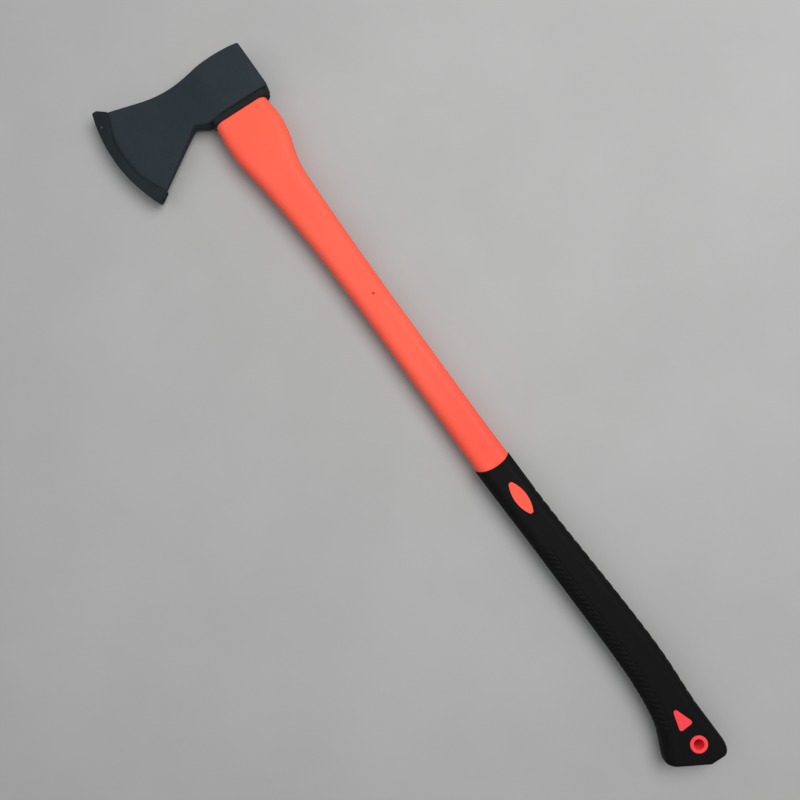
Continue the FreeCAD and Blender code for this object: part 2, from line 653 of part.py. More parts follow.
def make_guard(doc):
    """Push-on plastic channel over the cutting edge, open on the side of the head."""
    body = new_body(doc, "edge_guard")
    outline = new_sketch(body, "guard_outline")
    pinned_outline(outline, (
        ("guard_toe_x", "guard_toe_y", "guard_outer_radius", 1),
        ("guard_heel_x", "guard_heel_y"),
        ("guard_tail_x", "guard_tail_y"),
        ("guard_inner_x", "guard_inner_y", "guard_inner_radius", -1),
        ("guard_mid_x", "guard_mid_y"),
        ("guard_cheek_x", "guard_cheek_y"),
        ("guard_toe_low_x", "guard_toe_low_y"),
    ))
    extrude(body, "Pad", outline, cell("guard_thick"))
    fillet(body, "guard_corners", "guard_corner_round",
           lambda edge: edge.BoundBox.ZLength > SIZES["guard_thick"] - 2 * NEAR_IT)
    fillet(body, "guard_edges", "guard_edge_round",
           lambda edge: abs(abs(edge.BoundBox.Center.z) - SIZES["guard_thick"] / 2) < ON_IT)
    slot = new_sketch(body, "guard_slot")
    pinned_outline(slot, (
        ("slot_toe_x", "slot_toe_y", "slot_radius", 1),
        ("slot_heel_x", "slot_heel_y"),
        ("slot_heel_x", "slot_mouth_y"),
        ("slot_toe_x", "slot_mouth_y"),
    ))
    extrude(body, "Pocket", slot, cell("slot_thick"))
    return body


def check_document(doc, subparts):
    """Stops if any object failed or any sub-part isn't a valid solid."""
    for item in doc.Objects:
        if {"Invalid", "Error"} & set(item.State):
            raise RuntimeError(f"{item.Name} failed: {item.State}")
    for item in subparts:
        if item.Shape.isNull() or not item.Shape.isValid() or not item.Shape.Solids:
            raise RuntimeError(f"{item.Label} has no valid solid")


def main():
    doc = FreeCAD.newDocument("fire_axe")
    make_sheet(doc)
    head = make_head(doc)
    core = make_core(doc)
    resin = make_ring_along_x(doc, "eye_resin", "eye", "tang", "poll_low_x", "resin_end_x")
    collar = make_collar(doc)
    jacket_blank = make_jacket_blank(doc)
    sleeve_blank = make_sleeve_blank(doc)
    jacket = cut_from(doc, "handle_jacket", jacket_blank, core)
    sleeve = cut_from(doc, "grip_sleeve", sleeve_blank, jacket_blank)
    guard = make_guard(doc)
    subparts = (head, guard, collar, resin, core, jacket, sleeve)
    doc.recompute()
    check_document(doc, subparts)
    os.makedirs("parts", exist_ok=True)
    for item in subparts:
        item.Shape.exportStep(f"parts/{item.Label}.step")
        box = item.Shape.BoundBox
        print(f"{item.Label}: {len(item.Shape.Solids)} solid, {item.Shape.Volume:.0f} mm3,"
              f" x {box.XMin:.2f} {box.XMax:.2f}, y {box.YMin:.2f} {box.YMax:.2f},"
              f" z {box.ZMin:.2f} {box.ZMax:.2f}")


main()
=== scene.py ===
import json
import math

import bpy
import numpy as np
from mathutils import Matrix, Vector
from mathutils.bvhtree import BVHTree

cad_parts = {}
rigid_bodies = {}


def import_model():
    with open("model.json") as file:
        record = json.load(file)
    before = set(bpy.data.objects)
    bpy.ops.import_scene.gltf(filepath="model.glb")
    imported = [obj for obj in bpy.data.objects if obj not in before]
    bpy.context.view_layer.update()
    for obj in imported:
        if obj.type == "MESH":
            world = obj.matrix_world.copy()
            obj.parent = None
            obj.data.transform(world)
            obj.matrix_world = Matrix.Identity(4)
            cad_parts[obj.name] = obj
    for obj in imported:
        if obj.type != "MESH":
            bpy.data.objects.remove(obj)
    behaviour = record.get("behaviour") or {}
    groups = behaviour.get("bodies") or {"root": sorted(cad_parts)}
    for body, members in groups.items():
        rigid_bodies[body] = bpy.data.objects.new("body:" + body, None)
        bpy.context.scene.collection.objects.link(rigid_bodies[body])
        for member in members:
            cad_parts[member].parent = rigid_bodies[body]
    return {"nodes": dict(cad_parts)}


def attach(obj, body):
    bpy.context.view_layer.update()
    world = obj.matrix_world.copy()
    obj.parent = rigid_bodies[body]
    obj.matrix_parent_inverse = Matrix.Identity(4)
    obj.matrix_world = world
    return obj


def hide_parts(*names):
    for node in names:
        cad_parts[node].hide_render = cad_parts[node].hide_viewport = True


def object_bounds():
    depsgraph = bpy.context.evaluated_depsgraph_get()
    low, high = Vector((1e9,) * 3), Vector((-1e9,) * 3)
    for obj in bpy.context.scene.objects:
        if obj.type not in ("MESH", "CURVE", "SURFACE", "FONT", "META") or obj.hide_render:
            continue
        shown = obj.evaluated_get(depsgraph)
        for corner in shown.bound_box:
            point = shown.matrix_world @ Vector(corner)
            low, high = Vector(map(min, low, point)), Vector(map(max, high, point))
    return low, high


# The looks of a fire axe that lies on its cheek. The frame is in metres: X runs from the
# butt to the toe of the head, Y points at the cutting edge and Z is up. Sizes below are
# in millimetres, and MM turns them into metres.
MM = 0.001

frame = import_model()
nodes = frame["nodes"]
cad_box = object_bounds()

MID_PLANE = 0.5 * (cad_box[0][2] + cad_box[1][2]) / MM
EDGE_CENTRE = (401.4, -53.5)
GUARD_PALE_SPOT = (429.7, 94.3)
GATE_MARK = (137.9, -47.0)
# The ground bevel is bare from here out, as distances from the centre of the edge's curve.
BEVEL_START, BEVEL_FULL = 147.8, 148.4
# The jacket's colour turns a little redder toward the butt, between these two places.
BUTT_TINT = (-300.0, -250.0)
SEAM_FULL, SEAM_END = 0.1, 0.3


# --- small helpers -------------------------------------------------------------------

def smooth(low, high, value):
    """0 below low, 1 above high and an S curve between."""
    share = np.clip((value - low) / (high - low), 0.0, 1.0)
    return share * share * (3.0 - 2.0 * share)


def srgb(red, green, blue):
    """The linear colour of an 8 bit sRGB one."""
    def linear(level):
        level = level / 255.0
        return level / 12.92 if level <= 0.04045 else ((level + 0.055) / 1.055) ** 2.4
    return (linear(red), linear(green), linear(blue), 1.0)


def mesh_object(name, points, faces):
    """A smooth shaded object from points in millimetres."""
    mesh = bpy.data.meshes.new(name)
    metres = [tuple(float(value) * MM for value in point) for point in points]
    mesh.from_pydata(metres, [], faces)
    mesh.update()
    mesh.shade_smooth()
    piece = bpy.data.objects.new(name, mesh)
    bpy.context.scene.collection.objects.link(piece)
    return piece


# --- materials -----------------------------------------------------------------------

class Recipe:
    """One procedural material. Its coordinates are the frame's, in metres."""

    def __init__(self, name):
        self.material = bpy.data.materials.new(name)
        self.material.use_nodes = True
        self.tree = self.material.node_tree
        self.shader = self.tree.nodes["Principled BSDF"]
        self.place = self.node("ShaderNodeTexCoord").outputs["Object"]

    def node(self, kind, **settings):
        made = self.tree.nodes.new(kind)
        for name, value in settings.items():
            setattr(made, name, value)
        return made

    def feed(self, socket, value):
        """Links value to the socket if it's an output, and sets it if it's a number."""
        if isinstance(value, bpy.types.NodeSocket):
            self.tree.links.new(value, socket)
        else:
            socket.default_value = value

    def set(self, **values):
        """Sets or links the shader's own sockets, such as base_color or roughness."""
        for name, value in values.items():
            socket = name.replace("_", " ").title().replace("Ior", "IOR")
            self.feed(self.shader.inputs[socket], value)

    def stretched(self, along_x, along_y, along_z):
        """The coordinates, scaled by a factor along each axis."""
        scaled = self.node("ShaderNodeMapping")
        scaled.inputs["Scale"].default_value = (along_x, along_y, along_z)
        self.feed(scaled.inputs["Vector"], self.place)
        return scaled.outputs["Vector"]

    def noise(self, size_mm, detail=3.0, roughness=0.55, place=None):
        """Noise with features of about size_mm."""
        made = self.node("ShaderNodeTexNoise")
        made.inputs["Scale"].default_value = 1.0 / (size_mm * MM)
        made.inputs["Detail"].default_value = detail
        made.inputs["Roughness"].default_value = roughness
        self.feed(made.inputs["Vector"], place or self.place)
        return made.outputs["Fac"]

    def grains(self, size_mm, place=None):
        """Distance from the nearest of many points, about size_mm apart."""
        made = self.node("ShaderNodeTexVoronoi")
        made.inputs["Scale"].default_value = 1.0 / (size_mm * MM)
        self.feed(made.inputs["Vector"], place or self.place)
        return made.outputs["Distance"]

    def math(self, operation, first, second=0.0):
        made = self.node("ShaderNodeMath", operation=operation)
        self.feed(made.inputs[0], first)
        self.feed(made.inputs[1], second)
        return made.outputs[0]

    def between(self, value, low, high, low_result=0.0, high_result=1.0):
        """value's place between low and high, eased, as a number between the two results."""
        made = self.node("ShaderNodeMapRange", interpolation_type="SMOOTHSTEP")
        self.feed(made.inputs["Value"], value)
        self.feed(made.inputs["From Min"], low)
        self.feed(made.inputs["From Max"], high)
        self.feed(made.inputs["To Min"], low_result)
        self.feed(made.inputs["To Max"], high_result)
        return made.outputs["Result"]

    def blend(self, share, first, second):
        made = self.node("ShaderNodeMix", data_type="RGBA")
        self.feed(made.inputs["Factor"], share)
        self.feed(made.inputs[6], first)
        self.feed(made.inputs[7], second)
        return made.outputs[2]

    def axis(self, letter):
        """One coordinate, in metres."""
        made = self.node("ShaderNodeSeparateXYZ")
        self.feed(made.inputs[0], self.place)
        return made.outputs[letter]

    def near(self, centre_mm):
        """Distance in plan from a point, in millimetres."""
        across = self.math("SUBTRACT", self.axis("X"), centre_mm[0] * MM)
        along = self.math("SUBTRACT", self.axis("Y"), centre_mm[1] * MM)
        square = self.math("ADD", self.math("MULTIPLY", across, across),
                           self.math("MULTIPLY", along, along))
        return self.math("DIVIDE", self.math("SQRT", square), MM)

    def edges(self, width_mm, low=0.02, high=0.16):
        """1 on edges, where handling rubs the finish, and 0 more than width_mm from one."""
        rounded = self.node("ShaderNodeBevel", samples=4)
        rounded.inputs["Radius"].default_value = width_mm * MM
        facing = self.node("ShaderNodeVectorMath", operation="DOT_PRODUCT")
        self.feed(facing.inputs[0], rounded.outputs["Normal"])
        self.feed(facing.inputs[1], self.node("ShaderNodeNewGeometry").outputs["Normal"])
        return self.between(self.math("SUBTRACT", 1.0, facing.outputs["Value"]), low, high)

    def bumps(self, *layers):
        """Layers are (height, distance in millimetres, strength), each on top of the last."""
        normal = None
        for height, distance, strength in layers:
            made = self.node("ShaderNodeBump")
            made.inputs["Strength"].default_value = strength
            made.inputs["Distance"].default_value = distance * MM
            self.feed(made.inputs["Height"], height)
            if normal is not None:
                self.feed(made.inputs["Normal"], normal)
            normal = made.outputs["Normal"]
        self.set(normal=normal)


def make_head_paint():
    """Slate powder coat over forged steel, ground bright along the bevel."""
    mix = Recipe("head_coat")
    reach = mix.near(EDGE_CENTRE)
    ragged = mix.math("ADD", reach, mix.math("MULTIPLY", mix.noise(2.2, 4), 1.2))
    flank = mix.node("ShaderNodeSeparateXYZ")
    mix.feed(flank.inputs[0], mix.node("ShaderNodeNewGeometry").outputs["True Normal"])
    faces_out = mix.between(mix.math("ABSOLUTE", flank.outputs["Z"]), 0.6, 0.8)
    bare = mix.math("MULTIPLY", mix.between(ragged, BEVEL_START, BEVEL_FULL), faces_out)
    # The stone runs across the bevel, so its marks point at the cutting edge.
    across = mix.math("SUBTRACT", mix.axis("X"), EDGE_CENTRE[0] * MM)
    along = mix.math("SUBTRACT", mix.axis("Y"), EDGE_CENTRE[1] * MM)
    angle = mix.math("ARCTAN2", across, along)
    sweep = mix.node("ShaderNodeCombineXYZ")
    mix.feed(sweep.inputs["X"], mix.math("MULTIPLY", angle, 0.15))
    mix.feed(sweep.inputs["Y"], mix.math("MULTIPLY", mix.math("MULTIPLY", reach, MM), 0.02))
    grinding = mix.noise(0.35, 4, 0.7, sweep.outputs["Vector"])
    clouds = mix.noise(38, 4, 0.6)
    speckle = mix.noise(0.9, 2, 0.5)
    rubbed = mix.math("MULTIPLY", mix.edges(1.2), mix.between(mix.noise(5, 4, 0.7), 0.40, 0.70))
    paint = mix.blend(mix.between(clouds, 0.3, 0.7), srgb(33, 42, 48), srgb(38, 47, 53))
    paint = mix.blend(mix.between(speckle, 0.58, 0.75, 0, 0.22), paint, srgb(66, 76, 84))
    paint = mix.blend(mix.math("MULTIPLY", rubbed, 0.5), paint, srgb(92, 96, 100))
    steel = mix.blend(mix.between(grinding, 0.3, 0.7), srgb(128, 130, 133), srgb(186, 188, 190))
    mix.set(
        base_color=mix.blend(bare, paint, steel),
        metallic=bare,
        roughness=mix.math("ADD", mix.between(bare, 0, 1, 0.72, 0.33),
                           mix.math("MULTIPLY", mix.between(clouds, 0.25, 0.75, -1, 1), 0.05)),
        specular_ior_level=0.20,
    )
    peel = mix.noise(1.5, 2, 0.5)
    mix.bumps(
        (mix.noise(24, 3, 0.5), 0.25, 0.25),
        (mix.math("MULTIPLY", peel, mix.math("SUBTRACT", 1.0, bare)), 0.10, 0.55),
        (mix.math("MULTIPLY", grinding, bare), 0.05, 0.5),
        (mix.math("SUBTRACT", 1.0, bare), 0.08, 0.6),
    )
    return mix.material


def make_guard_plastic():
    """Matt injection moulded polyethylene with a spark-eroded grain and handling scuffs."""
    mix = Recipe("guard_moulding")
    mottle = mix.noise(26, 3, 0.6)
    grain = mix.grains(0.55)
    scuffs = mix.noise(9, 5, 0.75, mix.stretched(1.0, 0.25, 1.0))
    rubbed = mix.math("MULTIPLY", mix.edges(0.9), mix.between(mix.noise(4, 3, 0.6), 0.35, 0.65))
    colour = mix.blend(mix.between(mottle, 0.3, 0.7), srgb(18, 26, 29), srgb(24, 32, 36))
    colour = mix.blend(mix.between(scuffs, 0.62, 0.8, 0, 0.30), colour, srgb(60, 68, 68))
    colour = mix.blend(mix.math("MULTIPLY", rubbed, 0.42), colour, srgb(84, 92, 92))
    # A small pale spot is painted near the toe.
    pale_spot = mix.math("ADD", mix.near(GUARD_PALE_SPOT), mix.math("MULTIPLY", mix.noise(0.8, 2), 1.4))
    colour = mix.blend(mix.between(pale_spot, 0.9, 1.6, 1.0, 0.0), colour, srgb(110, 118, 118))
    mix.set(
        base_color=colour,
        roughness=mix.between(scuffs, 0.35, 0.8, 0.62, 0.76),
        specular_ior_level=0.20,
    )
    mix.bumps((mottle, 0.4, 0.25), (grain, 0.05, 0.6), (mix.noise(0.3, 2), 0.02, 0.5))
    return mix.material


def make_collar_rubber():
    """Soft dark rubber, a little dusty."""
    mix = Recipe("collar_rubber_skin")
    dust = mix.noise(12, 5, 0.7)
    grain = mix.noise(0.5, 3, 0.6)
    colour = mix.blend(mix.between(dust, 0.35, 0.75), srgb(20, 24, 24), srgb(30, 35, 34))
    colour = mix.blend(mix.math("MULTIPLY", mix.edges(0.9), 0.30), colour, srgb(64, 70, 68))
    mix.set(base_color=colour, roughness=mix.between(dust, 0.3, 0.8, 0.66, 0.80),
            specular_ior_level=0.20)
    mix.bumps((mix.noise(7, 3), 0.25, 0.3), (grain, 0.05, 0.6))
    return mix.material


def make_resin():
    """Amber epoxy with trapped bubbles, poured between the tang and the eye."""
    mix = Recipe("resin_pour_finish")
    swirl = mix.noise(9, 4, 0.6)
    bubbles = mix.between(mix.grains(1.7), 0.10, 0.24)
    colour = mix.blend(mix.between(swirl, 0.3, 0.7), srgb(128, 92, 40), srgb(186, 142, 70))
    colour = mix.blend(mix.math("MULTIPLY", mix.math("SUBTRACT", 1.0, bubbles), 0.5),
                       colour, srgb(214, 186, 130))
    mix.set(base_color=colour, roughness=mix.between(swirl, 0.3, 0.7, 0.16, 0.34),
            specular_ior_level=0.5, coat_weight=0.4)
    mix.bumps((swirl, 0.6, 0.5), (bubbles, 0.25, 0.6))
    return mix.material


def make_core_composite():
    """Pultruded glass fibre: long pale strands in a greenish yellow binder."""
    mix = Recipe("glass_fibre_rod")
    strands = mix.noise(0.35, 3, 0.7, mix.stretched(0.02, 1.0, 1.0))
    bundles = mix.noise(1.3, 2, 0.5, mix.stretched(0.03, 1.0, 1.0))
    colour = mix.blend(mix.between(bundles, 0.3, 0.7), srgb(176, 164, 112), srgb(214, 205, 160))
    colour = mix.blend(mix.between(strands, 0.52, 0.75, 0, 0.6), colour, srgb(238, 234, 212))
    mix.set(base_color=colour, roughness=mix.between(strands, 0.3, 0.8, 0.42, 0.66),
            specular_ior_level=0.45)
    mix.bumps((strands, 0.12, 0.7), (mix.noise(0.25, 2), 0.03, 0.5))
    return mix.material


def make_jacket_plastic():
    """Fluorescent orange polypropylene, satin, with mould texture, flow marks and a few scuffs."""
    mix = Recipe("orange_moulding")
    flow = mix.noise(60, 3, 0.5, mix.stretched(0.25, 1.0, 1.0))
    mottle = mix.noise(14, 4, 0.6)
    grain = mix.noise(0.45, 3, 0.6)
    scuffs = mix.noise(7, 6, 0.8, mix.stretched(0.18, 1.0, 1.0))
    butt_end = mix.between(mix.axis("X"), BUTT_TINT[0] * MM, BUTT_TINT[1] * MM, 1.0, 0.0)
    colour = mix.blend(mix.between(flow, 0.3, 0.7), srgb(252, 84, 66), srgb(255, 98, 74))
    colour = mix.blend(butt_end, colour, srgb(250, 70, 76))
    colour = mix.blend(mix.between(mottle, 0.55, 0.8, 0, 0.25), colour, srgb(244, 72, 56))
    colour = mix.blend(mix.between(scuffs, 0.66, 0.82, 0, 0.35), colour, srgb(255, 140, 120))
    # The plastic was injected here, which leaves a small dimple; the dark red over it is painted
    # shade in the dimple.
    painted_gate_shade = mix.between(mix.near(GATE_MARK), 1.0, 1.7, 1.0, 0.0)
    upper_half = mix.between(mix.axis("Z"), MID_PLANE * MM, (MID_PLANE + 5) * MM)
    painted_gate_shade = mix.math("MULTIPLY", painted_gate_shade, upper_half)
    colour = mix.blend(mix.math("MULTIPLY", painted_gate_shade, 0.75), colour, srgb(150, 22, 20))
    # The two halves of the mould meet along the middle of the narrow sides.
    from_seam = mix.math("ABSOLUTE", mix.math("SUBTRACT", mix.axis("Z"), MID_PLANE * MM))
    seam = mix.between(from_seam, SEAM_FULL * MM, SEAM_END * MM, 1.0, 0.0)
    mix.set(base_color=colour, roughness=mix.between(scuffs, 0.3, 0.8, 0.52, 0.66),
            specular_ior_level=0.22)
    mix.bumps((flow, 0.8, 0.25), (seam, 0.12, 0.7), (grain, 0.04, 0.5))
    return mix.material


def make_grip_rubber():
    """Black thermoplastic rubber, matt, with fine grain and a trace of dust in the hollows."""
    mix = Recipe("grip_rubber_skin")
    dust = mix.noise(18, 5, 0.7)
    grain = mix.noise(0.42, 3, 0.6)
    bend = mix.node("ShaderNodeNewGeometry").outputs["Pointiness"]
    hollow = mix.between(bend, 0.43, 0.49, 1.0, 0.0)
    proud = mix.between(bend, 0.52, 0.60)
    colour = mix.blend(mix.between(dust, 0.35, 0.75), srgb(8, 8, 9), srgb(13, 13, 14))
    colour = mix.blend(mix.math("MULTIPLY", proud, 0.30), colour, srgb(44, 44, 46))
    colour = mix.blend(mix.math("MULTIPLY", hollow, 0.35), colour, srgb(12, 12, 13))
    mix.set(base_color=colour, roughness=mix.between(dust, 0.3, 0.8, 0.62, 0.78),
            specular_ior_level=0.12)
    mix.bumps((mix.noise(5, 3), 0.15, 0.25), (grain, 0.05, 0.6))
    return mix.material


# --- grip ----------------------------------------------------------------------------

GRIP_CORNER = 11.5
BUTT_ROUND, BUTT_STRETCH = 4.0, 1.1
BUTT_HALF = 15.7
LIP_ROUND = 0.7
WALL = 2.15
MOUTH_CENTRE = (-35.6, -57.0)
MOUTH_RADIUS = 41.0
MOUTH_LEAST_SQUARE = 100.0
BUTT_PROFILE = ((-415.7, -19.55), (-447.2, -77.5))
HEEL_START, HEEL_ROUND = -93.5, 8.0
HOLLOW_END = -433.6
BUTT_WALL = 6.0
WINDOW_GAP = 0.25
ROW_STEP = 0.85
WIDE_COLUMNS, CORNER_COLUMNS, NARROW_COLUMNS = 36, 20, 6
HOLLOW_ROWS, LIP_ROWS, BUTT_ROWS = 24, 4, 9
# The CAD sleeve is measured at this many places between these two.
SHAPE_START, SHAPE_END, SHAPE_PLACES = -416.6, -80.6, 15
# A column's own x and y are found together, from a first guess, in a few rounds.
FIRST_GUESS, SETTLE_ROUNDS = -250.0, 6
# Each moulded panel: its start and end along X, its reach round the girth and its corner.
RIB_PANEL = (-400.6, -168.6, 22.6, 13.0)
NOTCH_PANEL = (-393.0, -113.5, 12.5, 8.0)
RIB_DEPTH, BORDER_DEPTH, NOTCH_DEPTH, CROWN_DEPTH, RIM_DEPTH = 0.60, 0.50, 0.60, 0.22, 0.45
RIB_PITCH, RIB_SLANT = 6.3, 0.64
NOTCH_PITCH, FIRST_NOTCH = 12.7, -120.2
# The jacket's panels that show through the grip, as in the CAD.
LEAF_CENTRE, LEAF_TILT, LEAF_REACH = (-116.3, -60.8), 3.8, 16.2
LEAF_END_ROUND, LEAF_SIDE_ROUND = 2.8, 38.0
ARROW_CORNERS, ARROW_ROUND = ((-382.5, -75.2), (-398.7, -71.4), (-397.7, -81.4)), 2.5
RING_CENTRE, RING_RADIUS = (-421.6, -77.5), 9.0
SIDE_POINTS, END_POINTS, CORNER_POINTS, RING_POINTS = 40, 16, 14, 73
NEAR_RIM = 4.0
CUTTER_LOW, CUTTER_HIGH = -10.0, 42.0


def hermite(places, values, wanted):
    """A smooth curve through values, straight on past both ends."""
    slopes = np.gradient(values, places)
    inside = np.clip(wanted, places[0], places[-1])
    span = np.clip(np.searchsorted(places, inside) - 1, 0, len(places) - 2)
    width = places[span + 1] - places[span]
    share = (inside - places[span]) / width
    curve = ((2 * share**3 - 3 * share**2 + 1) * values[span]
             + (share**3 - 2 * share**2 + share) * width * slopes[span]
             + (3 * share**2 - 2 * share**3) * values[span + 1]
             + (share**3 - share**2) * width * slopes[span + 1])
    beyond = np.where(wanted < places[0], (wanted - places[0]) * slopes[0],
                      np.where(wanted > places[-1], (wanted - places[-1]) * slopes[-1], 0.0))
    return curve + beyond


class SleeveShape:
    """The CAD sleeve's outside, measured at stations along it where its sides are whole."""

    def __init__(self, node):
        mesh = nodes[node].data
        tree = BVHTree.FromPolygons([vertex.co for vertex in mesh.vertices],
                                    [face.vertices for face in mesh.polygons])
        past_high, past_low, overhead, clear_share = 60, -200, 80, 0.65

        def reach(origin, direction):
            """Where a ray into the sleeve first meets it, in millimetres."""
            start = Vector(origin) * MM
            hit = tree.ray_cast(start, Vector(direction))[0]
            return hit / MM

        self.places = np.linspace(SHAPE_START, SHAPE_END, SHAPE_PLACES)
        self.high = np.array([reach((x, past_high, MID_PLANE), (0, -1, 0)).y
                              for x in self.places])
        self.low = np.array([reach((x, past_low, MID_PLANE), (0, 1, 0)).y
                             for x in self.places])
        clear = self.low + clear_share * (self.high - self.low)
        self.half = np.array([reach((x, y, overhead), (0, 0, -1)).z - MID_PLANE
                              for x, y in zip(self.places, clear)])

    def section(self, x):
        """Centre, half width and half thickness at x."""
        high = hermite(self.places, self.high, x)
        low = hermite(self.places, self.low, x)
        half = np.minimum(hermite(self.places, self.half, x), BUTT_HALF)
        return 0.5 * (high + low), 0.5 * (high - low), half


def girth_columns():
    """Places round a rounded rectangle: corner centre across and up, normal angle.
    They start at the cutting edge's side and go over the top."""
    wide, corner, narrow = WIDE_COLUMNS, CORNER_COLUMNS, NARROW_COLUMNS
    legs = (
        ((1, 0), (1, 1), 0, 0, narrow // 2),
        ((1, 1), (1, 1), 0, 90, corner),
        ((1, 1), (-1, 1), 90, 90, wide),
        ((-1, 1), (-1, 1), 90, 180, corner),
        ((-1, 1), (-1, -1), 180, 180, narrow),
        ((-1, -1), (-1, -1), 180, 270, corner),
        ((-1, -1), (1, -1), 270, 270, wide),
        ((1, -1), (1, -1), 270, 360, corner),
        ((1, -1), (1, 0), 360, 360, narrow // 2),
    )
    across, up, angle = [], [], []
    for start, end, first, last, count in legs:
        share = np.arange(count) / count
        across.append(start[0] + (end[0] - start[0]) * share)
        up.append(start[1] + (end[1] - start[1]) * share)
        angle.append(np.radians(first + (last - first) * share))
    return np.concatenate(across), np.concatenate(up), np.concatenate(angle)


def mouth_x(y):
    """Where the sleeve ends on the handle: a hollow arc."""
    square = MOUTH_RADIUS**2 - (y - MOUTH_CENTRE[1]) ** 2
    return MOUTH_CENTRE[0] - np.sqrt(np.clip(square, MOUTH_LEAST_SQUARE, None))


def butt_x(y):
    """Where the sleeve ends at the butt: a slanted face, an upright foot and a round heel."""
    (top_x, top_y), (bend_x, bend_y) = BUTT_PROFILE
    slanted = top_x + (y - top_y) * (bend_x - top_x) / (bend_y - top_y)
    below = np.clip(HEEL_START - y, 0.0, HEEL_ROUND)
    heel = bend_x + HEEL_ROUND - np.sqrt(HEEL_ROUND**2 - below**2)
    return np.where(y > bend_y, slanted, heel)


def panel(x, girth, start, end, reach, corner):
    """Signed distance from a rounded panel that lies astride a narrow side."""
    off_x = np.abs(x - 0.5 * (start + end)) - (0.5 * (end - start) - corner)
    off_girth = np.abs(girth) - (reach - corner)
    outside = np.hypot(np.maximum(off_x, 0), np.maximum(off_girth, 0))
    return outside + np.minimum(np.maximum(off_x, off_girth), 0) - corner


def groove(distance, half_width, ease):
    """1 along a line and 0 beyond half_width from it, with eased sides."""
    return 1.0 - smooth(half_width - ease, half_width + ease, np.abs(distance))


def grip_relief(x, from_edge_side, from_back_side):
    """How deep the moulded pattern goes, in millimetres."""
    # Slanted ribs over the side that faces the cutting edge, inside a moulded border.
    border = panel(x, from_edge_side, *RIB_PANEL)
    phase = (x + RIB_SLANT * from_edge_side) / RIB_PITCH
    off_rib = (phase - np.round(phase)) * RIB_PITCH * math.cos(math.atan(RIB_SLANT))
    ribs = groove(off_rib, 0.95, 0.55) * (1.0 - smooth(-2.3, -1.3, border))
    outline = groove(border, 0.55, 0.45)
    # Straight finger notches over the back, with a low crown between them.
    back = panel(x, from_back_side, *NOTCH_PANEL)
    step = (x - FIRST_NOTCH) / NOTCH_PITCH
    off_notch = np.abs(step - np.round(step)) * NOTCH_PITCH
    notches = (NOTCH_DEPTH * (1.0 - smooth(0.2, 1.9, off_notch))
               + CROWN_DEPTH * (1.0 - smooth(1.5, 6.3, off_notch)))
    notches = notches * (1.0 - smooth(-4.5, 0.0, back))
    return RIB_DEPTH * ribs + BORDER_DEPTH * outline + notches


def arc(centre, radius, first, last, count):
    """Points along an arc, from one angle to another in degrees."""
    angles = np.radians(np.linspace(first, last, count))
    return np.stack([centre[0] + radius * np.cos(angles),
                     centre[1] + radius * np.sin(angles)], axis=1)


def leaf_outline(gap):
    """Two long side arcs that run into small round ends."""
    tip = LEAF_REACH - LEAF_END_ROUND
    rise = math.sqrt((LEAF_SIDE_ROUND - LEAF_END_ROUND) ** 2 - tip**2)
    lean = math.degrees(math.atan2(tip, rise))
    outline = np.concatenate([
        arc((0, -rise), LEAF_SIDE_ROUND + gap, 90 - lean, 90 + lean, SIDE_POINTS),
        arc((-tip, 0), LEAF_END_ROUND + gap, 90 + lean, 270 - lean, END_POINTS)[1:-1],
        arc((0, rise), LEAF_SIDE_ROUND + gap, 270 - lean, 270 + lean, SIDE_POINTS),
        arc((tip, 0), LEAF_END_ROUND + gap, 270 + lean, 450 - lean, END_POINTS)[1:-1],
    ])
    turn = math.radians(LEAF_TILT)
    rotation = np.array([[math.cos(turn), math.sin(turn)], [-math.sin(turn), math.cos(turn)]])
    return outline @ rotation + LEAF_CENTRE


def arrow_outline(gap):
    """A triangle with round corners."""
    pieces = []
    for number, corner in enumerate(ARROW_CORNERS):
        before, after = ARROW_CORNERS[number - 1], ARROW_CORNERS[(number + 1) % 3]
        first = math.degrees(math.atan2(corner[1] - before[1], corner[0] - before[0])) - 90
        last = math.degrees(math.atan2(after[1] - corner[1], after[0] - corner[0])) - 90
        last = first + (last - first) % 360
        pieces.append(arc(corner, ARROW_ROUND + gap, first, last, CORNER_POINTS))
    return np.concatenate(pieces)


def ring_outline(gap):
    """The circle round the hang hole."""
    return arc(RING_CENTRE, RING_RADIUS + gap, 0, 360, RING_POINTS)[:-1]


PANEL_OUTLINES = {"leaf": leaf_outline, "arrow": arrow_outline, "ring": ring_outline}


def from_outline(x, y, outline):
    """Distance in plan to the nearest point of an outline, far points left at infinity."""
    low, high = outline.min(axis=0) - NEAR_RIM, outline.max(axis=0) + NEAR_RIM
    close = (x > low[0]) & (x < high[0]) & (y > low[1]) & (y < high[1])
    distance = np.full(x.shape, np.inf)
    gaps = np.hypot(x[close][:, None] - outline[:, 0], y[close][:, None] - outline[:, 1])
    distance[close] = gaps.min(axis=1)
    return distance


def window_cutter(name, outline):
    """A prism through the whole sleeve."""
    count = len(outline)
    points = [(x, y, z) for z in (CUTTER_LOW, CUTTER_HIGH) for x, y in outline]
    sides = [(i, (i + 1) % count, count + (i + 1) % count, count + i) for i in range(count)]
    ends = [tuple(range(count))[::-1], tuple(range(count, 2 * count))]
    return mesh_object(name, points, sides + ends)


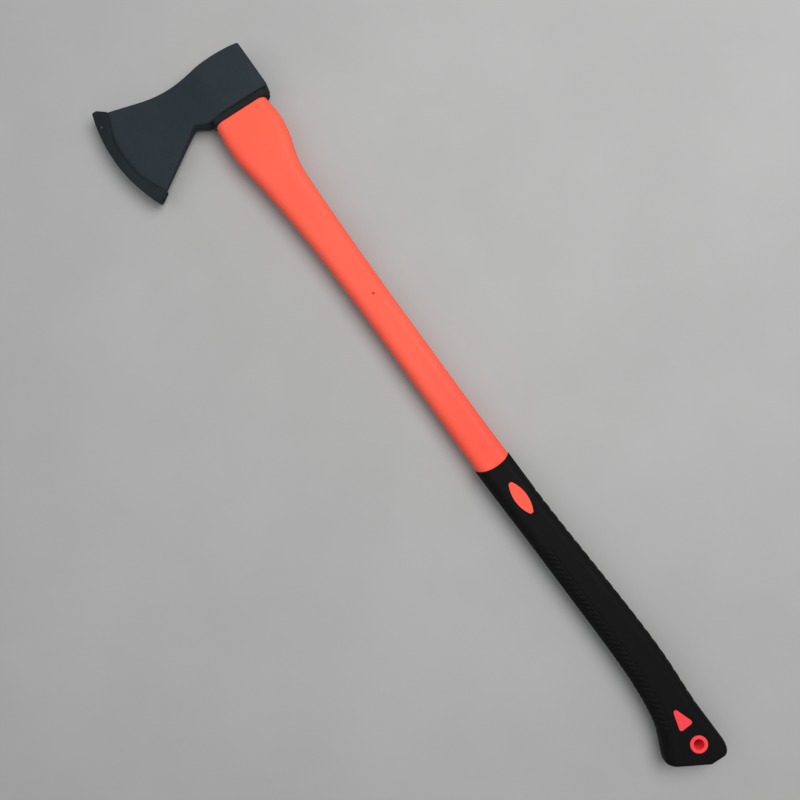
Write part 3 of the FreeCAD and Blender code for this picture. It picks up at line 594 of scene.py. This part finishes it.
def make_grip():
    """The soft grip: a sleeve with a blind hollow, a moulded pattern and three windows."""
    shape = SleeveShape("grip_sleeve")
    across, up, angle = girth_columns()
    columns = len(across)
    cosine, sine = np.cos(angle), np.sin(angle)
    outlines = [outline(0.0) for outline in PANEL_OUTLINES.values()]

    def settle(find_x, depth):
        """Points of one row of columns whose x depends on their own y."""
        def side_and_thickness(x):
            middle, wide, thick = shape.section(x)
            y = middle + (wide - GRIP_CORNER) * across + (GRIP_CORNER - depth) * cosine
            return y, thick

        x = np.full(columns, FIRST_GUESS)
        for _ in range(SETTLE_ROUNDS):
            x = find_x(side_and_thickness(x)[0])
        y, thick = side_and_thickness(x)
        z = MID_PLANE + (thick - GRIP_CORNER) * up + (GRIP_CORNER - depth) * sine
        return x, y, z

    rows = []
    # The hollow for the handle, from its blind end out to the mouth.
    for share in np.linspace(0.0, 1.0, HOLLOW_ROWS):
        def inside(y):
            blind = np.maximum(HOLLOW_END, butt_x(y) + BUTT_WALL)
            return blind + (mouth_x(y) - blind) * share
        rows.append(settle(inside, WALL))
    for turn in np.linspace(0, 90, LIP_ROWS):
        fall = LIP_ROUND * (1 - math.sin(math.radians(turn)))
        back = LIP_ROUND * (1 - math.cos(math.radians(turn)))
        rows.append(settle(lambda y: mouth_x(y) - back, fall))
    # The patterned outside.
    fully_across, level = 0.999, 1e-6
    middle_y = MOUTH_CENTRE[1]
    count = int((mouth_x(middle_y) - butt_x(middle_y)) / ROW_STEP)
    for share in np.linspace(0.0, 1.0, count)[1:]:
        def along(y):
            start = mouth_x(y) - LIP_ROUND
            return start + (butt_x(y) + BUTT_ROUND * BUTT_STRETCH - start) * share
        x, y, z = settle(along, 0.0)
        _, wide, thick = shape.section(x)
        flat_side, flat_face = thick - GRIP_CORNER, wide - GRIP_CORNER
        folded = np.arccos(np.clip(cosine, -1, 1))
        on_near = (across > fully_across) & (folded < level)
        on_far = (across < -fully_across) & (folded > math.pi - level)
        near_side = np.where(on_near, np.abs(up), 1.0)
        far_side = np.where(on_far, 1.0 - np.abs(up), 0.0)
        girth = (flat_side * near_side + GRIP_CORNER * folded + flat_face * (1 - across)
                 + flat_side * far_side)
        whole = 2 * flat_side + math.pi * GRIP_CORNER + 2 * flat_face
        depth = grip_relief(x, girth, whole - girth)
        for outline in outlines:
            rim = from_outline(x, y, outline)
            depth = np.maximum(depth, RIM_DEPTH * (1.0 - smooth(0.2, 1.5, rim)))
        rows.append((x, y - depth * cosine, z - depth * sine))
    # The rounded end of the butt.
    for turn in np.linspace(0, 90, BUTT_ROWS)[1:]:
        inset = BUTT_ROUND * (1 - math.cos(math.radians(turn)))
        short = BUTT_STRETCH * BUTT_ROUND * (1 - math.sin(math.radians(turn)))
        rows.append(settle(lambda y: butt_x(y) + short, inset))

    points = np.concatenate([np.stack(row, axis=1) for row in rows])
    faces = []
    for row in range(len(rows) - 1):
        base = row * columns
        for column in range(columns):
            after = (column + 1) % columns
            faces.append((base + column, base + columns + column,
                          base + columns + after, base + after))

    def cap(base, forward):
        """Closes a ring: each column of the top half is joined to the one below it, and the
        columns of each narrow side, which lie in line, share one face with their neighbours."""
        half, flat = columns // 2, NARROW_COLUMNS // 2 + 1
        rings = [range(-flat, flat + 1), range(half - flat, half + flat + 1)]
        rings += [(column, column + 1, -column - 1, -column)
                  for column in range(flat, half - flat)]
        for ring in rings:
            face = [base + column % columns for column in ring]
            faces.append(tuple(face if forward else face[::-1]))

    cap(0, True)
    cap((len(rows) - 1) * columns, False)
    grip = mesh_object("grip_rubber_sleeve", points, faces)
    for name, outline in PANEL_OUTLINES.items():
        cutter = window_cutter("cut_" + name, outline(WINDOW_GAP))
        cut = grip.modifiers.new("cut_" + name, "BOOLEAN")
        cut.operation = "DIFFERENCE"
        cut.solver = "EXACT"
        cut.object = cutter
    depsgraph = bpy.context.evaluated_depsgraph_get()
    mesh = bpy.data.meshes.new_from_object(grip.evaluated_get(depsgraph))
    grip.modifiers.clear()
    grip.data = mesh
    for piece in [one for one in bpy.data.objects if one.name.startswith("cut_")]:
        bpy.data.objects.remove(piece)
    return grip


# --- stage ---------------------------------------------------------------------------

# The floor in millimetres, the camera's place in metres, its turn in degrees and its lens.
FLOOR_HALF = 2500
CAMERA_PLACE, CAMERA_TURN = (0.03256, -0.01149, 0.903), 237.3
SENSOR_WIDTH, FOCAL_LENGTH, NEAREST_SEEN = 36.0, 38.97, 0.01
SKY_COLOUR, SKY_STRENGTH = (0.93, 0.96, 1.0, 1.0), 0.33


def make_floor():
    """A plain pale floor under the axe."""
    corners = [(FLOOR_HALF * x, FLOOR_HALF * y, 0) for x, y in ((-1, -1), (1, -1), (1, 1), (-1, 1))]
    floor = mesh_object("floor", corners, [(0, 1, 2, 3)])
    mix = Recipe("pale_floor")
    clouds = mix.noise(240, 4, 0.6)
    colour = mix.blend(mix.between(clouds, 0.3, 0.7), srgb(170, 170, 168), srgb(175, 175, 173))
    mix.set(base_color=colour, roughness=0.7, specular_ior_level=0.25)
    floor.data.materials.append(mix.material)


def make_light(name, place, target, size, power):
    """A round area light; places and size in metres, power in watts."""
    lamp = bpy.data.lights.new(name, "AREA")
    lamp.shape = "DISK"
    lamp.size = size
    lamp.energy = power
    holder = bpy.data.objects.new(name, lamp)
    bpy.context.scene.collection.objects.link(holder)
    holder.location = place
    holder.rotation_euler = (Vector(target) - Vector(place)).to_track_quat("-Z", "Y").to_euler()


def make_camera():
    """Looks straight down, with the axe running corner to corner."""
    lens = bpy.data.cameras.new("camera")
    lens.sensor_width = SENSOR_WIDTH
    lens.lens = FOCAL_LENGTH
    lens.clip_start = NEAREST_SEEN
    camera = bpy.data.objects.new("camera", lens)
    bpy.context.scene.collection.objects.link(camera)
    camera.location = CAMERA_PLACE
    camera.rotation_euler = (0.0, 0.0, math.radians(CAMERA_TURN))
    bpy.context.scene.camera = camera


def make_world():
    """An even, slightly cool sky."""
    world = bpy.data.worlds.new("studio")
    world.use_nodes = True
    background = world.node_tree.nodes["Background"]
    background.inputs["Color"].default_value = SKY_COLOUR
    background.inputs["Strength"].default_value = SKY_STRENGTH
    bpy.context.scene.world = world


def dress(piece, material):
    """Gives a piece one material in all its slots."""
    if not piece.data.materials:
        piece.data.materials.append(material)
    for slot in piece.material_slots:
        slot.material = material


finishes = {
    "axe_head": make_head_paint(),
    "edge_guard": make_guard_plastic(),
    "shock_collar": make_collar_rubber(),
    "eye_resin": make_resin(),
    "fibreglass_core": make_core_composite(),
    "handle_jacket": make_jacket_plastic(),
}
for node, finish in finishes.items():
    dress(nodes[node], finish)

grip = make_grip()
dress(grip, make_grip_rubber())
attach(grip, "axe")
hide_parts("grip_sleeve")

make_floor()
make_world()
make_light("key", place=(0.15, -0.75, 1.55), target=(0.0, 0.0, 0.0), size=1.3, power=24.0)
make_light("fill", place=(0.7, 1.1, 1.7), target=(0.0, 0.0, 0.0), size=1.8, power=6.4)
make_camera()
bpy.context.scene.view_settings.view_transform = "Standard"
